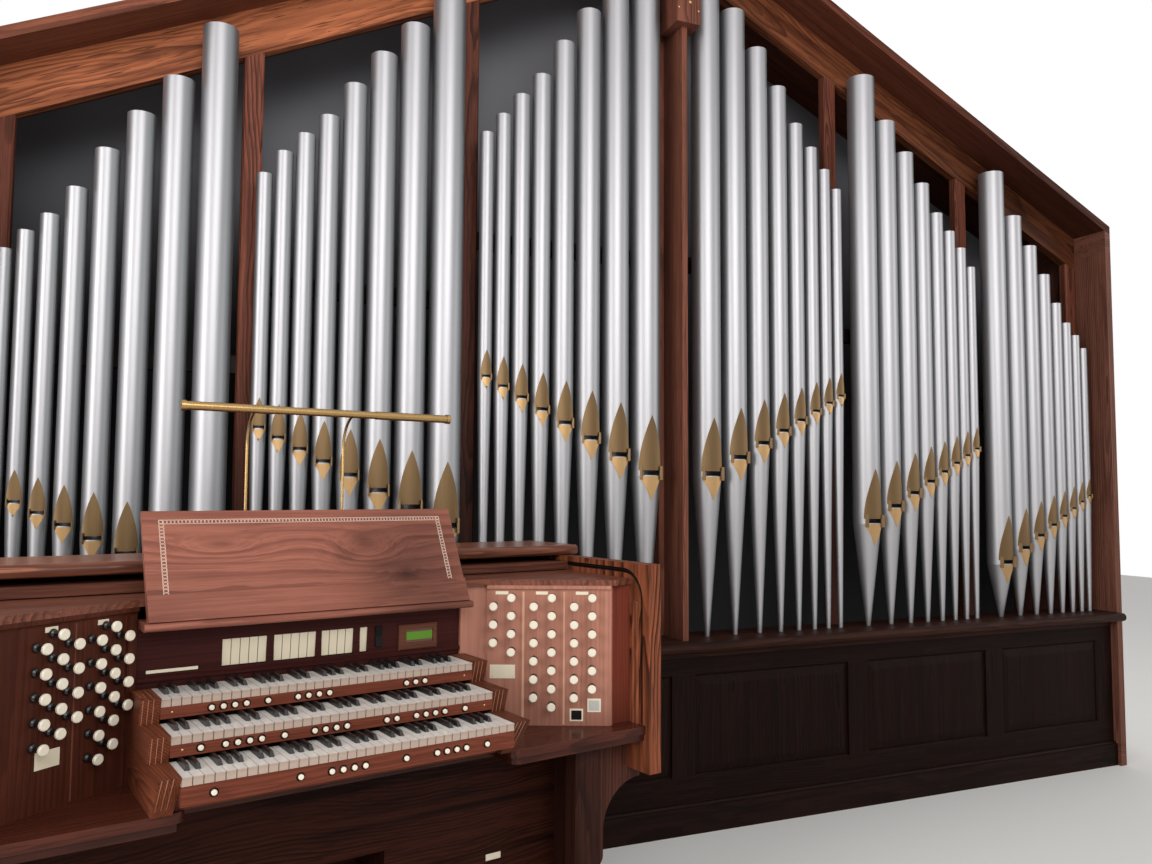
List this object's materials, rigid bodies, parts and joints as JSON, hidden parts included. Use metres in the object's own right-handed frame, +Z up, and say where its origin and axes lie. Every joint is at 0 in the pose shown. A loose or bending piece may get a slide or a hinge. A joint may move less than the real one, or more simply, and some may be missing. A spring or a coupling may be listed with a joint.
{
  "type": "pipe organ",
  "caption": "Pipe organ with a gabled oak case of silver display pipes with gilt mouths, and a detached drawknob console with a roll top, music desk and pedals.",
  "frame": {"origin": "on the floor, on the case's centre line, under the row of display pipes", "axes": "+X along the case to the right as seen by the audience, +Y from the pipes towards the back of the case, +Z up"},
  "size_m": [5.6456, 2.4815, 4.3753],
  "materials": {
    "oak": "satin",
    "console_oak": "satin",
    "walnut": "satin",
    "dark_board": "matte",
    "pipe_metal": "satin",
    "gilt": "satin",
    "lamp_brass": "polished",
    "key_white": "gloss",
    "key_black": "gloss",
    "shoe_rubber": "matte",
    "pedal_wood": "satin"
  },
  "bodies": {
    "root": {"case_plinth": "oak", "wainscot": "oak", "toe_board": "oak", "mullions": "oak", "centre_post": "oak", "raking_rails": "oak", "left_roof": "oak", "right_roof": "oak", "left_side": "oak", "right_side": "oak", "case_back": "dark_board", "stay_rails": "dark_board", "outer_left_pipes": "pipe_metal", "middle_left_pipes": "pipe_metal", "inner_left_pipes": "pipe_metal", "inner_right_pipes": "pipe_metal", "middle_right_pipes": "pipe_metal", "outer_right_pipes": "pipe_metal", "pipe_mouths": "gilt", "end_panels": "console_oak", "console_back": "console_oak", "console_lid": "console_oak", "roll_top": "console_oak", "console_deck": "console_oak", "pedestal": "console_oak", "brackets": "console_oak", "kneeboard": "console_oak", "key_desk": "console_oak", "key_cheeks": "console_oak", "key_frames": "walnut", "natural_keys": "key_white", "sharp_keys": "key_black", "thumb_pistons": "key_white", "left_stop_jamb": "walnut", "right_stop_jamb": "walnut", "drawknobs": "key_white", "tablet_board": "walnut", "tilting_tablets": "key_white", "display": "walnut", "music_desk": "walnut", "desk_lamp": "lamp_brass", "expression_shoes": "shoe_rubber", "pedal_frame": "console_oak", "pedal_naturals": "pedal_wood", "pedal_sharps": "pedal_wood"}
  },
  "joints": []
}
